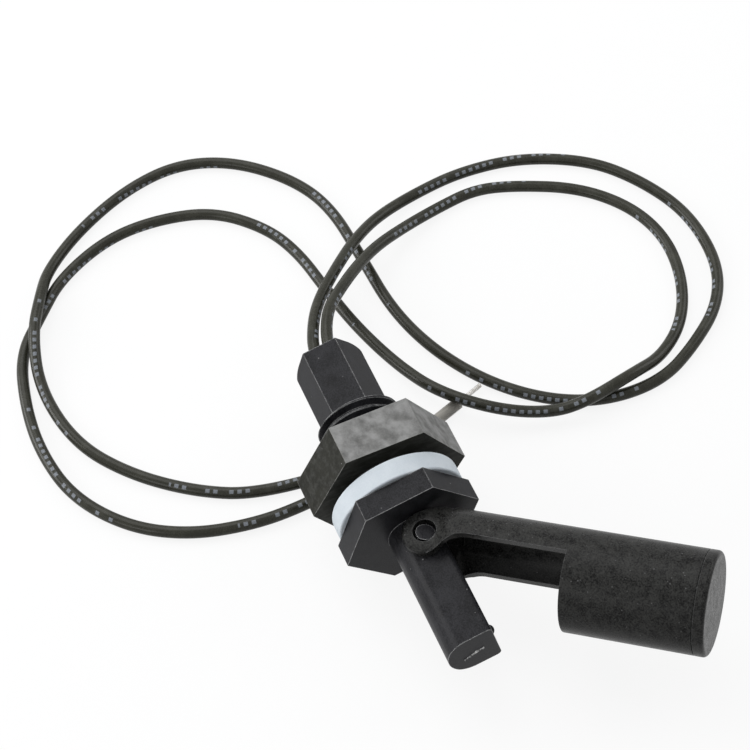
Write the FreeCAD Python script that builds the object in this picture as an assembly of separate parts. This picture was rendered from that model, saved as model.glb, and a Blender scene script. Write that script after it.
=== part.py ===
import FreeCAD, Part
import math
import os

# Side-mounted float level switch with a hinged float and two free wires.
# Frame: +X is the axis of the threaded stub and points into the tank, +Z is up, and the
# origin is the centre of the gasket's sealing face, which lies on the wall of the tank.
# Sizes are in millimetres and degrees. "u" and "p" are the two directions across the stub,
# turned by CLOCK_ANGLE from Y and Z: the float swings towards +u, about an axis along p.

CLOCK_ANGLE = 10.0

# Threaded stub and its hexagonal tail
THREAD_DIAMETER = 16.0
THREAD_LENGTH = 20.8
TAIL_LENGTH = 15.5
TAIL_FLATS = 11.5
TAIL_END_RADIUS = 1.7
TAIL_SOFT_EDGE = 0.8
CAVITY_DIAMETER = 8.4
CAVITY_MOUTH_CHAMFER = 0.5

# Gasket, flange and nut
GASKET_THICKNESS = 4.0
GASKET_DIAMETER = 24.2
GASKET_EDGE = 0.35
GASKET_BORE_GAP = 0.1
FLANGE_THICKNESS = 4.5
FLANGE_FLATS = 22.4
NUT_FLATS = 25.5
NUT_THICKNESS = 8.0
NUT_FRONT = -2.1
NUT_BORE_GAP = 0.1
NUT_BORE_CHAMFER = 0.7

# Stem in front of the flange
STEM_LENGTH = 25.7
STEM_HALF_WIDTH = 4.3
STEM_HALF_HEIGHT = 5.1
STEM_BACK_REACH = 4.7
STEM_CORNER = 0.9
STEM_BACK_SETBACK = 2.5
STEM_BACK_CORNER = 1.2
STEM_BORE_DIAMETER = 6.0
STEM_END_WALL = 3.0
STOP_NUB_RADIUS = 1.0
STOP_NUB_INSET = 1.0
STOP_NUB_PROUD = 0.5
STOP_NUB_HEIGHT = 2.8

# Hinge: two trunnions on the stem in the two ears of the float arm
PIVOT_FROM_FLANGE = 4.5
PIVOT_OFFSET = 1.8
TRUNNION_DIAMETER = 3.2
TRUNNION_REACH = 6.9
TRUNNION_RAMP_DROP = 1.1
TRUNNION_CREST = 0.7
EAR_HOLE_DIAMETER = 4.2
EAR_RADIUS = 4.1
EAR_THICKNESS = 1.8
EAR_EDGE = 0.5
EAR_TO_STEM_GAP = 0.3
ARM_ANGLE = 50.0

# Float and its arm, along the arm from the pivot
FLOAT_DIAMETER = 18.0
FLOAT_AXIS_OFFSET = 1.45
ARM_WALL = 1.6
FLOAT_WALL = 1.2
FLOAT_START = 25.6
FLOAT_END = 50.1
CAP_THICKNESS = 2.0
CAP_EDGE = 0.7
CAP_SEAM = 0.15
CAP_SPIGOT_LENGTH = 1.6
CAP_SPIGOT_WALL = 1.0
TROUGH_START = 8.2
FLARE_START = 2.2
FLARE_END = 8.0
ROOF_START = 3.6
HEEL_SLOPE = 29.5
HEEL_RADIUS = 8.0
MAGNET_DIAMETER = 10.0
MAGNET_THICKNESS = 5.0
MAGNET_SOCKET_WALL = 0.9
MAGNET_SOCKET_DEPTH = 3.0

# Reed switch and its wiring inside the stub
REED_OFFSET = 1.4
GLASS_DIAMETER = 2.3
GLASS_WALL = 0.3
GLASS_LENGTH = 14.0
GLASS_SEAL = 1.5
GLASS_FRONT_GAP = 3.2
REED_WIRE_DIAMETER = 0.5
REED_WIDTH = 1.2
REED_THICKNESS = 0.2
REED_GAP = 0.1
REED_OVERLAP = 1.0
RETURN_STRAIGHT = 0.8
SOLDER_DIAMETER = 1.5
SOLDER_LENGTH = 3.0
SOLDER_EDGE = 0.5
SPLICE_A = 1.0
SPLICE_B = -5.0
STRIPPED_LENGTH = 3.0
SLEEVE_WALL = 0.2
SLEEVE_LENGTH = 9.0
POTTING_RECESS = 0.8
POTTING_LENGTH = 12.0

# Free wires, which lie on the surface under the nut
WIRE_DIAMETER = 2.3
CONDUCTOR_DIAMETER = 0.9
WIRE_SPACING = 2.8
WIRE_EXIT_RUN = 3.5
CROSSING_GAP = 0.5
END_A_LENGTH = 6.0
END_B_LENGTH = 5.8

# Worked out from the sizes above
FLANGE_BACK = GASKET_THICKNESS
FLANGE_FRONT = FLANGE_BACK + FLANGE_THICKNESS
THREAD_START = FLANGE_BACK - THREAD_LENGTH
TAIL_START = THREAD_START - TAIL_LENGTH
NUT_BACK = NUT_FRONT - NUT_THICKNESS
STEM_END = FLANGE_FRONT + STEM_LENGTH
STEM_BORE_END = STEM_END - STEM_END_WALL
PIVOT_X = FLANGE_FRONT + PIVOT_FROM_FLANGE
EAR_INSIDE = STEM_HALF_HEIGHT + EAR_TO_STEM_GAP
EAR_OUTSIDE = EAR_INSIDE + EAR_THICKNESS
FLOAT_RADIUS = FLOAT_DIAMETER / 2
TROUGH_RADIUS = FLOAT_RADIUS - ARM_WALL
CAP_START = FLOAT_END - CAP_THICKNESS
REED_FRONT = STEM_BORE_END - GLASS_FRONT_GAP
REED_BACK = REED_FRONT - GLASS_LENGTH
FLOOR = -NUT_FLATS / 2
ON_FLOOR = FLOOR + WIRE_DIAMETER / 2
OVER_WIRE = ON_FLOOR + WIRE_DIAMETER + CROSSING_GAP

TINY = 0.01
X_AXIS = FreeCAD.Vector(1, 0, 0)
Z_AXIS = FreeCAD.Vector(0, 0, 1)
ORIGIN = FreeCAD.Vector(0, 0, 0)


def vec(x, y, z):
    return FreeCAD.Vector(x, y, z)


def clocked(shape):
    """A shape built with u along Y and p along Z, turned to its place on the stub."""
    turned = shape.copy()
    turned.rotate(ORIGIN, X_AXIS, CLOCK_ANGLE)
    return turned


def on_arm(shape):
    """A shape built along X from the pivot, swung open to the arm's place at rest."""
    swung = shape.copy()
    swung.rotate(ORIGIN, Z_AXIS, ARM_ANGLE)
    swung.translate(vec(PIVOT_X, PIVOT_OFFSET, 0))
    return clocked(swung)


def rod(diameter, start, end, y=0.0, z=0.0):
    """A round bar along X."""
    return Part.makeCylinder(diameter / 2, end - start, vec(start, y, z), X_AXIS)


def prism(points, direction):
    """A flat outline of straight sides, pushed along a direction."""
    face = Part.Face(Part.makePolygon(points + points[:1]))
    return face.extrude(direction)


def block(low, high):
    """A box between two corners."""
    return Part.makeBox(high[0] - low[0], high[1] - low[1], high[2] - low[2], vec(*low))


def hexagon(flats, start, end):
    """A hexagonal bar along X with two corners on Y."""
    radius = flats / math.sqrt(3)
    corners = []
    for step in range(6):
        angle = math.radians(60 * step)
        corners.append(vec(start, radius * math.cos(angle), radius * math.sin(angle)))
    return prism(corners, vec(end - start, 0, 0))


def edges_where(shape, test):
    """The shape's edges whose centre of mass passes a test."""
    return [edge for edge in shape.Edges if test(edge.CenterOfMass)]


def switch_body():
    """Tail, threaded stub, flange, hollow stem and trunnions, moulded as one."""
    body = tail().fuse([
        rod(THREAD_DIAMETER, THREAD_START, FLANGE_BACK),
        hexagon(FLANGE_FLATS, FLANGE_BACK, FLANGE_FRONT),
        stem(),
        trunnion(1),
        trunnion(-1),
    ])
    cavity = rod(CAVITY_DIAMETER, TAIL_START - TINY, FLANGE_BACK)
    mouth = Part.makeCone(CAVITY_DIAMETER / 2 + CAVITY_MOUTH_CHAMFER, CAVITY_DIAMETER / 2,
                          CAVITY_MOUTH_CHAMFER, vec(TAIL_START, 0, 0), X_AXIS)
    bore = rod(STEM_BORE_DIAMETER, FLANGE_BACK - TINY, STEM_BORE_END)
    return clocked(body.cut([cavity, mouth, bore]).removeSplitter())


def tail():
    """Hexagonal tail with its rear corners rounded in plan and one soft ridge."""
    bar = hexagon(TAIL_FLATS, TAIL_START, THREAD_START)
    half = TAIL_FLATS / math.sqrt(3)
    plan = block((TAIL_START, -half, -half), (THREAD_START, half, half))
    corners = edges_where(plan, lambda at: at.x < TAIL_START + TINY and abs(at.y) > half - TINY
                          and abs(at.z) < TINY)
    bar = bar.common(plan.makeFillet(TAIL_END_RADIUS, corners))
    soft = edges_where(bar, lambda at: at.y < -half + TINY and abs(at.z) < TINY)
    return bar.makeFillet(TAIL_SOFT_EDGE, soft)


def stem():
    """The stem: three nearly flat sides, and a rounded side away from the float."""
    back = -STEM_BACK_REACH + STEM_BACK_SETBACK
    top_back = vec(FLANGE_FRONT, back, STEM_HALF_HEIGHT)
    bottom_back = vec(FLANGE_FRONT, back, -STEM_HALF_HEIGHT)
    top_front = vec(FLANGE_FRONT, STEM_HALF_WIDTH, STEM_HALF_HEIGHT)
    bottom_front = vec(FLANGE_FRONT, STEM_HALF_WIDTH, -STEM_HALF_HEIGHT)
    outline = Part.Wire([
        Part.LineSegment(bottom_back, bottom_front).toShape(),
        Part.LineSegment(bottom_front, top_front).toShape(),
        Part.LineSegment(top_front, top_back).toShape(),
        Part.Arc(top_back, vec(FLANGE_FRONT, -STEM_BACK_REACH, 0), bottom_back).toShape(),
    ])
    bar = Part.Face(outline).extrude(vec(STEM_LENGTH, 0, 0))
    middle = FLANGE_FRONT + STEM_LENGTH / 2
    front = edges_where(bar, lambda at: abs(at.x - middle) < TINY and at.y > STEM_HALF_WIDTH - TINY)
    bar = bar.makeFillet(STEM_CORNER, front)
    rear = edges_where(bar, lambda at: abs(at.x - middle) < TINY and abs(at.y - back) < TINY)
    bar = bar.makeFillet(STEM_BACK_CORNER, rear)
    nub = Part.makeSphere(STOP_NUB_RADIUS)
    nub.translate(vec(STEM_END - STOP_NUB_INSET,
                      STEM_HALF_WIDTH + STOP_NUB_PROUD - STOP_NUB_RADIUS, STOP_NUB_HEIGHT))
    return bar.fuse(nub)


def trunnion(side):
    """One pivot pin, with a ramp at its end that lets the ear snap over it."""
    root = STEM_HALF_HEIGHT - 1
    pin = Part.makeCylinder(TRUNNION_DIAMETER / 2, TRUNNION_REACH - root,
                            vec(PIVOT_X, PIVOT_OFFSET, root))
    edge = PIVOT_OFFSET - TRUNNION_DIAMETER / 2
    far = PIVOT_OFFSET + TRUNNION_DIAMETER / 2
    low = TRUNNION_REACH - TRUNNION_RAMP_DROP
    start = PIVOT_X - TRUNNION_DIAMETER
    ramp = prism([
        vec(start, edge + TRUNNION_CREST, TRUNNION_REACH),
        vec(start, far + TINY, low),
        vec(start, far + TINY, TRUNNION_REACH + TINY),
        vec(start, edge + TRUNNION_CREST, TRUNNION_REACH + TINY),
    ], vec(2 * TRUNNION_DIAMETER, 0, 0))
    pin = pin.cut(ramp)
    if side < 0:
        return pin.mirror(ORIGIN, Z_AXIS)
    return pin


def sealing_gasket():
    ring = rod(GASKET_DIAMETER, 0, GASKET_THICKNESS)
    rims = [edge for edge in ring.Edges if abs(edge.Length - math.pi * GASKET_DIAMETER) < TINY]
    ring = ring.makeFillet(GASKET_EDGE, rims)
    return ring.cut(rod(THREAD_DIAMETER + 2 * GASKET_BORE_GAP, -1, GASKET_THICKNESS + 1))


def mounting_nut():
    """Hexagonal nut that lies with one flat on the surface under the switch."""
    bore = THREAD_DIAMETER + 2 * NUT_BORE_GAP
    nut = hexagon(NUT_FLATS, NUT_BACK, NUT_FRONT).cut(rod(bore, NUT_BACK - 1, NUT_FRONT + 1))
    wide = bore / 2 + NUT_BORE_CHAMFER
    back = Part.makeCone(wide, bore / 2, NUT_BORE_CHAMFER, vec(NUT_BACK, 0, 0), X_AXIS)
    front = Part.makeCone(bore / 2, wide, NUT_BORE_CHAMFER,
                          vec(NUT_FRONT - NUT_BORE_CHAMFER, 0, 0), X_AXIS)
    return nut.cut([back, front])


def arm_outline():
    """The arm seen along the hinge: ear, heel and trough wall, up to the float's far end."""
    top = FLOAT_RADIUS - FLOAT_AXIS_OFFSET
    slope = math.radians(HEEL_SLOPE)
    lift = vec(-math.sin(slope), math.cos(slope), 0)
    heel_start = lift * EAR_RADIUS
    heel_top_x = heel_start.x + (top - heel_start.y) / math.tan(slope)
    setback = HEEL_RADIUS * math.tan(slope / 2)
    heel_end = vec(heel_top_x - setback * math.cos(slope), top - setback * math.sin(slope), 0)
    heel_arc_end = vec(heel_top_x + setback, top, 0)
    heel_centre = vec(heel_arc_end.x, top - HEEL_RADIUS, 0)
    half = slope / 2
    heel_middle = heel_centre + vec(-math.sin(half), math.cos(half), 0) * HEEL_RADIUS
    # The void under the trough's mouth is an arc that touches the ear's circle and the edge line
    void_radius = (TROUGH_START ** 2 - EAR_RADIUS ** 2) / (2 * EAR_RADIUS)
    void_centre = vec(TROUGH_START, -void_radius, 0)
    touch = void_centre * (EAR_RADIUS / (EAR_RADIUS + void_radius))
    start_angle = math.atan2(touch.y - void_centre.y, touch.x - void_centre.x)
    middle_angle = (start_angle + math.pi / 2) / 2
    void_middle = void_centre + vec(math.cos(middle_angle), math.sin(middle_angle), 0) * void_radius
    ear_middle = vec(-math.cos(math.radians(20)), -math.sin(math.radians(20)), 0) * EAR_RADIUS
    far = FLOAT_END
    low = -FLOAT_RADIUS - FLOAT_AXIS_OFFSET
    corners = [vec(TROUGH_START, 0, 0), vec(FLOAT_START, 0, 0), vec(FLOAT_START, low - 1, 0),
               vec(far, low - 1, 0), vec(far, top + 1, 0), vec(heel_arc_end.x, top + 1, 0)]
    edges = [Part.Arc(touch, void_middle, corners[0]).toShape()]
    for first, second in zip(corners, corners[1:] + [heel_arc_end]):
        edges.append(Part.LineSegment(first, second).toShape())
    edges.append(Part.Arc(heel_arc_end, heel_middle, heel_end).toShape())
    edges.append(Part.LineSegment(heel_end, heel_start).toShape())
    edges.append(Part.Arc(heel_start, ear_middle, touch).toShape())
    return Part.Face(Part.Wire(edges))


def arm_plan(ear_half, float_half):
    """A tapered slab about the arm's axis, as wide as the ears at the pivot."""
    low = -FLOAT_DIAMETER
    return prism([
        vec(-FLOAT_DIAMETER, low, -ear_half),
        vec(FLARE_START, low, -ear_half),
        vec(FLARE_END, low, -float_half),
        vec(FLOAT_END + 1, low, -float_half),
        vec(FLOAT_END + 1, low, float_half),
        vec(FLARE_END, low, float_half),
        vec(FLARE_START, low, ear_half),
        vec(-FLOAT_DIAMETER, low, ear_half),
    ], vec(0, 2 * FLOAT_DIAMETER, 0))


def float_arm():
    """Ears, trough and hollow float shell, moulded as one."""
    axis = -FLOAT_AXIS_OFFSET
    wide = FLOAT_RADIUS + 1
    outer = rod(FLOAT_DIAMETER, -FLOAT_DIAMETER, CAP_START, axis)
    seam = edges_where(outer, lambda at: at.x > CAP_START - TINY)
    outer = outer.makeChamfer(CAP_SEAM, seam).common(arm_plan(EAR_OUTSIDE, wide))
    profile = arm_outline().extrude(vec(0, 0, 2 * wide))
    profile.translate(vec(0, 0, -wide))
    inner = rod(2 * TROUGH_RADIUS, -FLOAT_DIAMETER, FLOAT_START, axis)
    inner = inner.common(arm_plan(EAR_INSIDE, wide))
    fork = block((-FLOAT_DIAMETER, -FLOAT_DIAMETER, -EAR_INSIDE), (ROOF_START, FLOAT_DIAMETER, EAR_INSIDE))
    hollow_start = FLOAT_START + ARM_WALL
    hollow = rod(FLOAT_DIAMETER - 2 * FLOAT_WALL, hollow_start, CAP_START + 1, axis)
    pin_hole = Part.makeCylinder(EAR_HOLE_DIAMETER / 2, 4 * wide, vec(0, 0, -2 * wide))
    arm = outer.common(profile).cut([inner, fork, hollow, pin_hole])
    socket = rod(MAGNET_DIAMETER + 2 * MAGNET_SOCKET_WALL, hollow_start - TINY,
                 hollow_start + MAGNET_SOCKET_DEPTH, axis)
    socket = socket.cut(rod(MAGNET_DIAMETER, hollow_start - 1,
                            hollow_start + MAGNET_SOCKET_DEPTH + 1, axis))
    arm = arm.fuse(socket).removeSplitter()
    rims = [edge for edge in arm.Edges if edge.Curve.TypeId == "Part::GeomCircle"
            and abs(edge.Curve.Radius - EAR_RADIUS) < TINY
            and abs(abs(edge.CenterOfMass.z) - EAR_OUTSIDE) < TINY]
    return on_arm(arm.makeChamfer(EAR_EDGE, rims))


def float_cap():
    """Cap that closes the float, with a spigot inside the shell."""
    axis = -FLOAT_AXIS_OFFSET
    disc = rod(FLOAT_DIAMETER, CAP_START, FLOAT_END, axis)
    rim = edges_where(disc, lambda at: at.x > FLOAT_END - TINY)
    disc = disc.makeFillet(CAP_EDGE, rim)
    seam = edges_where(disc, lambda at: at.x < CAP_START + TINY)
    disc = disc.makeChamfer(CAP_SEAM, seam)
    inside = FLOAT_DIAMETER - 2 * FLOAT_WALL
    spigot = rod(inside, CAP_START - CAP_SPIGOT_LENGTH, CAP_START + TINY, axis)
    hollow = rod(inside - 2 * CAP_SPIGOT_WALL, CAP_START - CAP_SPIGOT_LENGTH - 1, CAP_START, axis)
    return on_arm(disc.fuse(spigot.cut(hollow)).removeSplitter())


def float_magnet():
    start = FLOAT_START + ARM_WALL
    return on_arm(rod(MAGNET_DIAMETER, start, start + MAGNET_THICKNESS, -FLOAT_AXIS_OFFSET))


def reed_glass():
    """Closed glass tube with a lead sealed into each end."""
    tube = rod(GLASS_DIAMETER, REED_BACK, REED_FRONT, -REED_OFFSET)
    tube = tube.makeFillet(GLASS_WALL, [edge for edge in tube.Edges if edge.Length > GLASS_DIAMETER
                                        and abs(edge.CenterOfMass.y + REED_OFFSET) < TINY
                                        and edge.Curve.TypeId == "Part::GeomCircle"])
    room = rod(GLASS_DIAMETER - 2 * GLASS_WALL, REED_BACK + GLASS_SEAL, REED_FRONT - GLASS_SEAL,
               -REED_OFFSET)
    hole = rod(REED_WIRE_DIAMETER, REED_BACK - 1, REED_FRONT + 1, -REED_OFFSET)
    return clocked(tube.cut([room, hole]))


def reed_blade(start, end, low):
    """The flattened end of a lead inside the glass."""
    half = REED_WIDTH / 2
    return block((start, -REED_OFFSET - half, low), (end, -REED_OFFSET + half, low + REED_THICKNESS))


def reed_lead_front():
    """Front lead: it turns back round the glass to the splice of wire B."""
    middle = (REED_FRONT + REED_BACK) / 2
    turn = REED_FRONT + RETURN_STRAIGHT
    inner_end = REED_FRONT - GLASS_SEAL
    path = Part.Wire([
        Part.LineSegment(vec(inner_end - TINY, -REED_OFFSET, 0), vec(turn, -REED_OFFSET, 0)).toShape(),
        Part.Arc(vec(turn, -REED_OFFSET, 0), vec(turn + REED_OFFSET, 0, 0),
                 vec(turn, REED_OFFSET, 0)).toShape(),
        Part.LineSegment(vec(turn, REED_OFFSET, 0), vec(SPLICE_B, REED_OFFSET, 0)).toShape(),
    ])
    wire = swept(path, REED_WIRE_DIAMETER)
    blade = reed_blade(middle - REED_OVERLAP / 2, inner_end, REED_GAP / 2)
    return clocked(wire.fuse(blade))


def reed_lead_rear():
    """Rear lead: it runs straight back to the splice of wire A."""
    middle = (REED_FRONT + REED_BACK) / 2
    wire = rod(REED_WIRE_DIAMETER, SPLICE_A, REED_BACK + GLASS_SEAL + TINY, -REED_OFFSET)
    blade = reed_blade(REED_BACK + GLASS_SEAL, middle + REED_OVERLAP / 2,
                       -REED_GAP / 2 - REED_THICKNESS)
    return clocked(wire.fuse(blade))


def solder_joint(splice, y):
    """Bead of solder in which a wire meets a reed lead end to end."""
    start = splice - SOLDER_LENGTH / 2
    end = splice + SOLDER_LENGTH / 2
    bead = rod(SOLDER_DIAMETER, start, end, y)
    rims = [edge for edge in bead.Edges if edge.Curve.TypeId == "Part::GeomCircle"]
    bead = bead.makeFillet(SOLDER_EDGE, rims)
    bead = bead.cut(rod(CONDUCTOR_DIAMETER, start - 1, splice, y))
    return clocked(bead.cut(rod(REED_WIRE_DIAMETER, splice - TINY, end + 1, y)))


def insulating_sleeve(splice, y):
    """Shrink sleeve that grips the end of the wire and covers the splice."""
    start = splice - SLEEVE_LENGTH / 2
    end = splice + SLEEVE_LENGTH / 2
    sleeve = rod(WIRE_DIAMETER + 2 * SLEEVE_WALL, start, end, y)
    return clocked(sleeve.cut(rod(WIRE_DIAMETER, start - 1, end + 1, y)))


def inner_wire(splice, y):
    """The stretch of a wire inside the stub, with its stripped end in the splice."""
    wire = rod(WIRE_DIAMETER, TAIL_START, splice - STRIPPED_LENGTH, y)
    return clocked(wire.fuse(rod(CONDUCTOR_DIAMETER, splice - STRIPPED_LENGTH - TINY, splice, y)))


def potting_plug():
    """Resin that fills the back of the cavity round both wires."""
    start = TAIL_START + POTTING_RECESS
    plug = rod(CAVITY_DIAMETER, start, start + POTTING_LENGTH)
    wires = [rod(WIRE_DIAMETER, start - 1, start + POTTING_LENGTH + 1, side * WIRE_SPACING / 2)
             for side in (-1, 1)]
    return clocked(plug.cut(wires))


# Routes of the free wires over the surface, from the tail outwards. ON_FLOOR is the height of
# a wire that lies on the surface, and OVER_WIRE is its height where it crosses another.
ROUTE_A = [
    (-43.2, 1.4, -1.9), (-48.8, 4.8, -3.2), (-55.4, 10.7, -4.9), (-62.7, 17.6, -7.6),
    (-68.2, 24.8, -10.2), (-71.4, 34.5, ON_FLOOR), (-72.5, 45.0, ON_FLOOR), (-70.5, 57.5, ON_FLOOR),
    (-63.5, 70.0, ON_FLOOR), (-54.0, 77.0, ON_FLOOR), (-42.5, 81.5, ON_FLOOR), (-29.0, 81.0, ON_FLOOR),
    (-19.5, 76.0, ON_FLOOR), (-12.8, 67.0, ON_FLOOR), (-8.5, 58.5, ON_FLOOR), (-8.5, 48.0, ON_FLOOR),
    (-12.6, 38.1, ON_FLOOR), (-21.2, 28.9, ON_FLOOR), (-32.9, 22.1, ON_FLOOR), (-46.0, 18.4, ON_FLOOR),
    (-61.0, 18.0, ON_FLOOR), (-76.0, 17.3, ON_FLOOR), (-86.5, 12.7, ON_FLOOR), (-96.3, 3.5, ON_FLOOR),
    (-100.8, -7.5, ON_FLOOR), (-99.0, -19.5, ON_FLOOR), (-93.0, -31.8, ON_FLOOR),
    (-85.3, -40.8, ON_FLOOR + 0.6), (-78.0, -44.2, OVER_WIRE), (-70.0, -48.3, OVER_WIRE),
    (-58.5, -51.0, ON_FLOOR), (-43.5, -48.5, ON_FLOOR), (-32.5, -41.3, ON_FLOOR),
    (-23.5, -31.3, ON_FLOOR), (-17.8, -20.7, ON_FLOOR), (-16.6, -10.5, ON_FLOOR),
]
ROUTE_B = [
    (-43.4, 4.5, -0.4), (-48.4, 9.0, -2.3), (-53.8, 14.3, -4.7), (-59.1, 20.6, -7.5),
    (-63.0, 28.2, -10.0), (-65.8, 36.7, ON_FLOOR), (-66.9, 45.5, ON_FLOOR), (-64.2, 53.5, ON_FLOOR),
    (-58.0, 64.7, ON_FLOOR), (-49.0, 72.0, ON_FLOOR), (-38.8, 74.7, ON_FLOOR), (-28.0, 72.8, ON_FLOOR),
    (-18.8, 67.8, ON_FLOOR), (-13.3, 60.5, ON_FLOOR), (-10.6, 53.3, OVER_WIRE),
    (-8.6, 42.8, OVER_WIRE), (-9.8, 35.9, ON_FLOOR + 1.4), (-13.8, 26.7, OVER_WIRE),
    (-22.5, 18.1, OVER_WIRE), (-33.1, 14.3, ON_FLOOR), (-44.6, 10.7, ON_FLOOR), (-56.0, 8.6, ON_FLOOR),
    (-67.5, 7.0, ON_FLOOR), (-76.5, 3.4, ON_FLOOR), (-85.3, -4.8, ON_FLOOR), (-88.6, -16.2, ON_FLOOR),
    (-88.3, -27.3, ON_FLOOR), (-82.7, -39.0, ON_FLOOR), (-75.5, -45.5, ON_FLOOR),
    (-68.0, -52.0, ON_FLOOR), (-56.0, -54.7, ON_FLOOR), (-44.5, -55.2, ON_FLOOR),
    (-32.3, -52.7, ON_FLOOR), (-21.6, -45.2, ON_FLOOR), (-15.1, -35.2, ON_FLOOR),
    (-12.1, -23.3, ON_FLOOR), (-12.0, -13.0, ON_FLOOR), (-13.2, -5.0, ON_FLOOR),
    (-15.8, 7.0, ON_FLOOR), (-18.6, 16.0, ON_FLOOR), (-20.4, 21.1, ON_FLOOR),
]


def swept(path, diameter):
    """A round bar along a path of straight runs and tangent arcs."""
    start = path.OrderedEdges[0]
    heading = start.tangentAt(start.FirstParameter)
    ring = Part.makeCircle(diameter / 2, start.firstVertex().Point, heading)
    return path.makePipeShell([Part.Wire(ring)], True, False)


def wire_path(points):
    """Straight runs joined by arcs as large as the runs allow, and the arcs' radii."""
    edges = []
    radii = []
    here = points[0]
    for before, corner, after in zip(points, points[1:], points[2:]):
        back = (before - corner).normalize()
        ahead = (after - corner).normalize()
        shorter = min((before - corner).Length, (after - corner).Length)
        reach = 0.45 * shorter
        turn = math.pi - back.getAngle(ahead)
        radius = reach / math.tan(turn / 2)
        enter = corner + back * reach
        leave = corner + ahead * reach
        bisector = (back + ahead).normalize()
        middle = corner + bisector * (radius / math.cos(turn / 2) - radius)
        edges.append(Part.LineSegment(here, enter).toShape())
        edges.append(Part.Arc(enter, middle, leave).toShape())
        radii.append(radius)
        here = leave
    edges.append(Part.LineSegment(here, points[-1]).toShape())
    return Part.Wire(edges), radii


def wire_exit(side):
    """The point where a wire leaves the tail."""
    point = vec(TAIL_START, side * WIRE_SPACING / 2, 0)
    clock = FreeCAD.Rotation(X_AXIS, CLOCK_ANGLE)
    return clock.multVec(point)


def lead_wire(name, side, route):
    """A free wire, with its radii and its volume printed."""
    start = wire_exit(side)
    points = [start, start - X_AXIS * WIRE_EXIT_RUN] + [vec(*point) for point in route]
    path, radii = wire_path(points)
    tube = swept(path, WIRE_DIAMETER)
    section = math.pi * WIRE_DIAMETER ** 2 / 4
    print(name, "length", round(path.Length, 1), "volume over section x length",
          round(tube.Volume / (section * path.Length), 4), "radii",
          [round(radius, 1) for radius in radii])
    return tube


def wire_end(route, length):
    """The stripped and tinned conductor beyond a wire's insulation."""
    start = vec(*route[-1])
    along = start - vec(*route[-2])
    return Part.makeCylinder(CONDUCTOR_DIAMETER / 2, length, start, along)


def main():
    side_a = -WIRE_SPACING / 2
    side_b = WIRE_SPACING / 2
    pieces = {
        "switch_body": switch_body(),
        "mounting_nut": mounting_nut(),
        "sealing_gasket": sealing_gasket(),
        "float_arm": float_arm(),
        "float_cap": float_cap(),
        "float_magnet": float_magnet(),
        "reed_glass": reed_glass(),
        "reed_lead_front": reed_lead_front(),
        "reed_lead_rear": reed_lead_rear(),
        "solder_joint_a": solder_joint(SPLICE_A, side_a),
        "solder_joint_b": solder_joint(SPLICE_B, side_b),
        "insulating_sleeve_a": insulating_sleeve(SPLICE_A, side_a),
        "insulating_sleeve_b": insulating_sleeve(SPLICE_B, side_b),
        "inner_wire_a": inner_wire(SPLICE_A, side_a),
        "inner_wire_b": inner_wire(SPLICE_B, side_b),
        "potting_plug": potting_plug(),
        "lead_wire_a": lead_wire("lead_wire_a", -1, ROUTE_A),
        "lead_wire_b": lead_wire("lead_wire_b", 1, ROUTE_B),
        "wire_end_a": wire_end(ROUTE_A, END_A_LENGTH),
        "wire_end_b": wire_end(ROUTE_B, END_B_LENGTH),
    }
    os.makedirs("parts", exist_ok=True)
    for name, shape in pieces.items():
        shape.exportStep("parts/" + name + ".step")
        print(name, "solids", len(shape.Solids), "valid", shape.isValid(),
              "volume", round(shape.Volume, 2))


main()
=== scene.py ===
import math
import random

import bmesh
import bpy
from mathutils import Matrix, Vector


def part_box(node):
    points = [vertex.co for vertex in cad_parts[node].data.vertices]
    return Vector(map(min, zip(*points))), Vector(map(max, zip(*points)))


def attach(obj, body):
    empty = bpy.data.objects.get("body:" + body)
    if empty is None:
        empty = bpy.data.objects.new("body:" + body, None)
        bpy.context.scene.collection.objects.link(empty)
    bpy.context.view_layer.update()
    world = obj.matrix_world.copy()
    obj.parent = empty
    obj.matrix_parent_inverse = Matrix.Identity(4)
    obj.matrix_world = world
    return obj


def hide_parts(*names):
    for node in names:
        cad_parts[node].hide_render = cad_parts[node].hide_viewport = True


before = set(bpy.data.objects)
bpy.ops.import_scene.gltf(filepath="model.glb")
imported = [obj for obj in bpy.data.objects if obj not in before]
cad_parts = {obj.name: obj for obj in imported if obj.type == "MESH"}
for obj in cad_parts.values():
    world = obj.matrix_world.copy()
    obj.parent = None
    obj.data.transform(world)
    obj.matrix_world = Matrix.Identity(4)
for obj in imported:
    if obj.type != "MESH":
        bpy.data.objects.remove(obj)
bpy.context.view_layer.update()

MM = 0.001

# The switch's own directions: u and p lie across the stub, turned from Y and Z
CLOCK_ANGLE = math.radians(10)
X_AXIS = Vector((1, 0, 0))
U_AXIS = Vector((0, math.cos(CLOCK_ANGLE), math.sin(CLOCK_ANGLE)))
P_AXIS = Vector((0, -math.sin(CLOCK_ANGLE), math.cos(CLOCK_ANGLE)))

# Camera and surroundings
CAMERA_TARGET = Vector((-0.0160, 0.0041, 0.0142))
CAMERA_AZIMUTH = math.radians(-16.78)
CAMERA_ELEVATION = math.radians(55.06)
CAMERA_ROLL = math.radians(-7.38)
CAMERA_DISTANCE = 0.3575
CAMERA_ANGLE = math.radians(21.03)
FLOOR_HALF = 1.2
FLOOR_GLOW = 0.87
SKY_DIRECTION = (-0.5, 0.0, 0.85)
SKY_SPREAD = (-0.1, 0.95)
WORLD_LOW = 0.03
WORLD_HIGH = 0.85
# Soft lamps: name, direction from the switch, distance and side in metres, radiance
LAMPS = [
    ("key", (-0.6, -0.07, 0.79), 0.62, 0.45, 2.1),
    ("side", (-0.55, -0.76, 0.36), 0.60, 0.30, 6.0),
    ("fill", (0.34, -0.8, 0.47), 0.60, 0.22, 3.2),
    ("far side", (-0.1, 0.85, 0.5), 0.60, 0.30, 2.5),
]

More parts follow.
